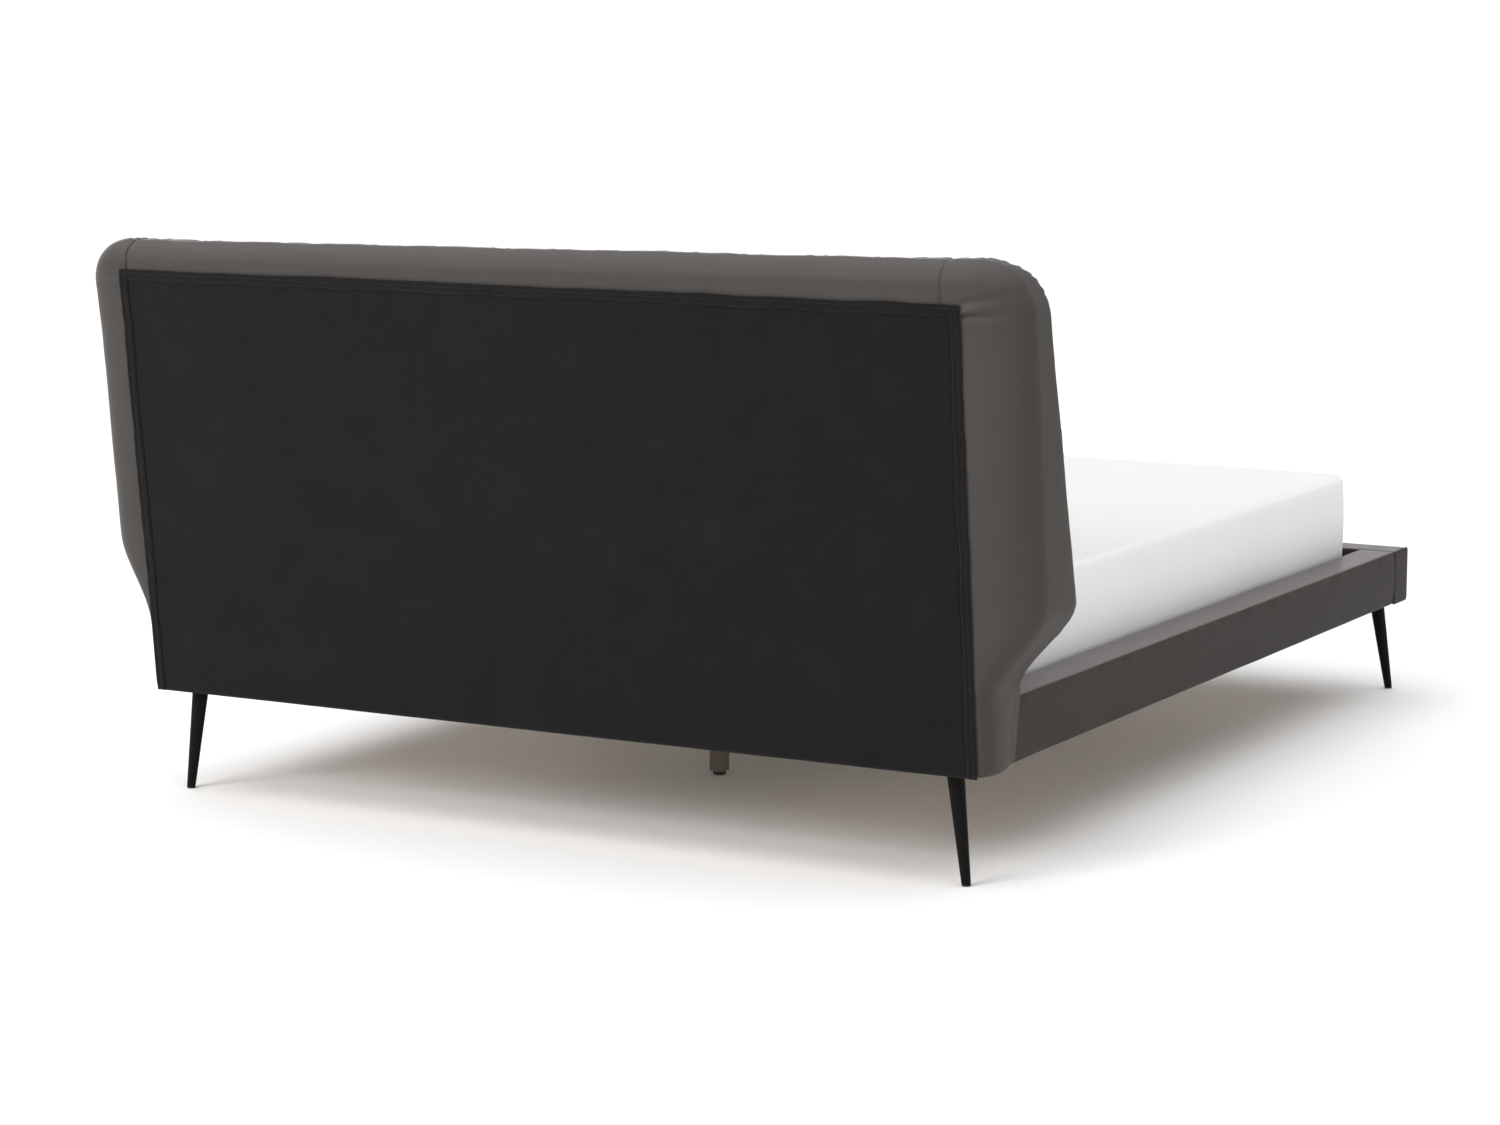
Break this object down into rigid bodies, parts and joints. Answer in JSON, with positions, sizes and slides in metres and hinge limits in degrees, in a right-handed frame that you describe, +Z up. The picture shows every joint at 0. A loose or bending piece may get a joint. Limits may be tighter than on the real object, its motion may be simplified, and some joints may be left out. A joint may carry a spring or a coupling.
{
  "type": "upholstered platform bed",
  "caption": "Upholstered platform bed: padded headboard leaning back with swept wings, low padded rails, splayed tapered legs, sprung slats and a mattress.",
  "frame": {"origin": "on the floor under the middle of the bed's footprint", "axes": "+Z up, +Y from the foot rail to the headboard, X across the bed"},
  "size_m": [2, 2.3518, 1.1],
  "materials": {
    "grey_leather": "fine-grained soft faux leather, satin",
    "black_felt": "matt non-woven felt",
    "mattress_ticking": "smooth white stretch ticking",
    "foam": "open-cell foam",
    "plywood": "sanded plywood",
    "pine": "planed softwood",
    "birch_slat": "varnished bent birch",
    "black_plastic": "moulded, matt",
    "black_metal": "matt black powder coat",
    "taupe_metal": "taupe powder coat",
    "dark_steel": "black powder coat",
    "zinc_steel": "zinc plated"
  },
  "bodies": {
    "root": {"beam_hanger_foot": "dark_steel", "beam_hanger_head": "dark_steel", "bracket_bolts": "zinc_steel", "centre_beam": "dark_steel", "centre_leg_front": "taupe_metal", "centre_leg_middle": "taupe_metal", "centre_leg_rear": "taupe_metal", "corner_bracket_foot_left": "dark_steel", "corner_bracket_foot_right": "dark_steel", "corner_bracket_head_left": "dark_steel", "corner_bracket_head_right": "dark_steel", "dust_cover": "black_felt", "foot_rail_core": "pine", "foot_rail_cover": "grey_leather", "head_bottom_rail": "pine", "head_face_board": "plywood", "head_foam": "foam", "head_front_pad": "grey_leather", "head_middle_rail": "pine", "head_side_wrap_left": "grey_leather", "head_side_wrap_right": "grey_leather", "head_stile_left": "pine", "head_stile_right": "pine", "head_strut_lower": "pine", "head_strut_upper": "pine", "head_top_band": "grey_leather", "head_top_rail": "pine", "leg_foot_left": "black_metal", "leg_foot_right": "black_metal", "leg_glide_foot_left": "black_plastic", "leg_glide_foot_right": "black_plastic", "leg_glide_head_left": "black_plastic", "leg_glide_head_right": "black_plastic", "leg_head_left": "black_metal", "leg_head_right": "black_metal", "leg_plate_foot_left": "black_metal", "leg_plate_foot_right": "black_metal", "leg_plate_head_left": "black_metal", "leg_plate_head_right": "black_metal", "leg_screws": "zinc_steel", "side_rail_core_left": "pine", "side_rail_core_right": "pine", "side_rail_cover_left": "grey_leather", "side_rail_cover_right": "grey_leather", "slat_holders_centre": "black_plastic", "slat_holders_left": "black_plastic", "slat_holders_right": "black_plastic", "slat_ledge_left": "pine", "slat_ledge_right": "pine", "slats_left": "birch_slat", "slats_right": "birch_slat", "wing_ribs_left": "plywood", "wing_ribs_right": "plywood"},
    "mattress": {"mattress": "mattress_ticking"},
    "foot_front": {"levelling_foot_front": "black_plastic"},
    "foot_middle": {"levelling_foot_middle": "black_plastic"},
    "foot_rear": {"levelling_foot_rear": "black_plastic"}
  },
  "joints": [
    {"name": "mattress_lift", "type": "slide", "parent": "root", "child": "mattress", "axis": [0, 0, 1], "range_m": [0, 0.35]},
    {"name": "foot_screw_front", "type": "slide", "parent": "root", "child": "foot_front", "axis": [0, 0, 1], "range_m": [-0.012, 0]},
    {"name": "foot_screw_middle", "type": "slide", "parent": "root", "child": "foot_middle", "axis": [0, 0, 1], "range_m": [-0.012, 0]},
    {"name": "foot_screw_rear", "type": "slide", "parent": "root", "child": "foot_rear", "axis": [0, 0, 1], "range_m": [-0.012, 0]}
  ]
}
